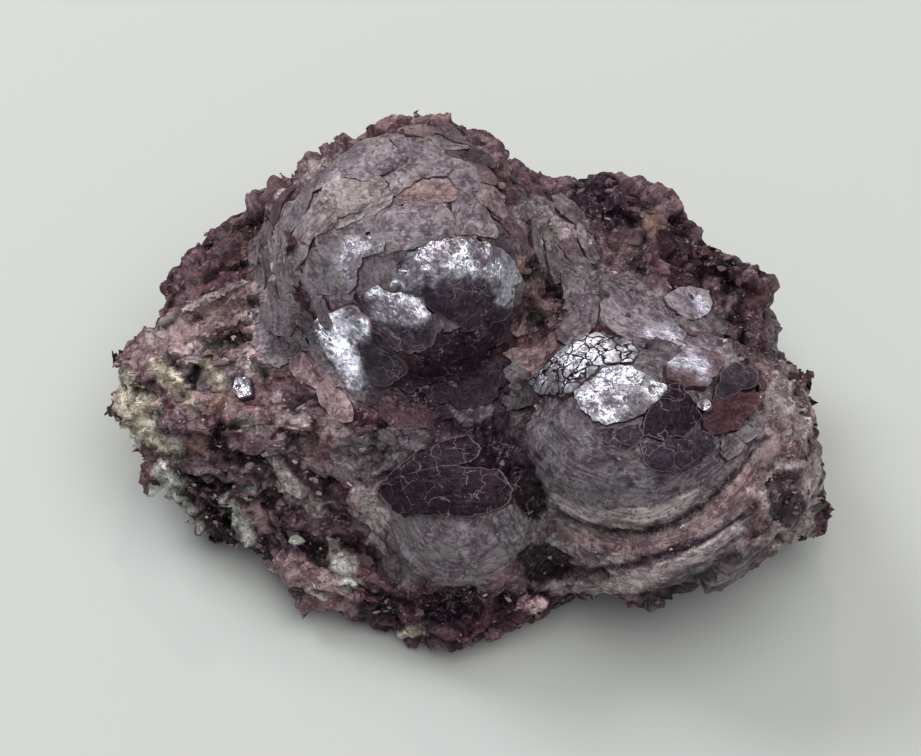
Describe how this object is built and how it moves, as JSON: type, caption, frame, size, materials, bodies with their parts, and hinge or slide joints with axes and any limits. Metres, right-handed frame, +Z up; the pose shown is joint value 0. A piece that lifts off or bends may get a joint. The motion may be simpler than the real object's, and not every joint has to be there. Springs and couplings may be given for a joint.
{
  "type": "ball mica specimen",
  "caption": "Broken lump of purple-grey ball mica with round, onion-layered balls and flaky ledges, resting on a flat cleavage face as a display specimen.",
  "frame": {"origin": "middle of the lump's box, at the height of the flat cleavage face it rests on", "axes": "+X along the lump's longest side, towards the right ball and the flaky end; +Y towards the broken back; +Z up from the resting face, through the top of the upper ball"},
  "size_m": [0.0822, 0.0568, 0.0422],
  "materials": {
    "mica": "pearly, flaky purple-grey mica"
  },
  "bodies": {
    "root": {"mica_crystal": "mica"}
  },
  "joints": []
}
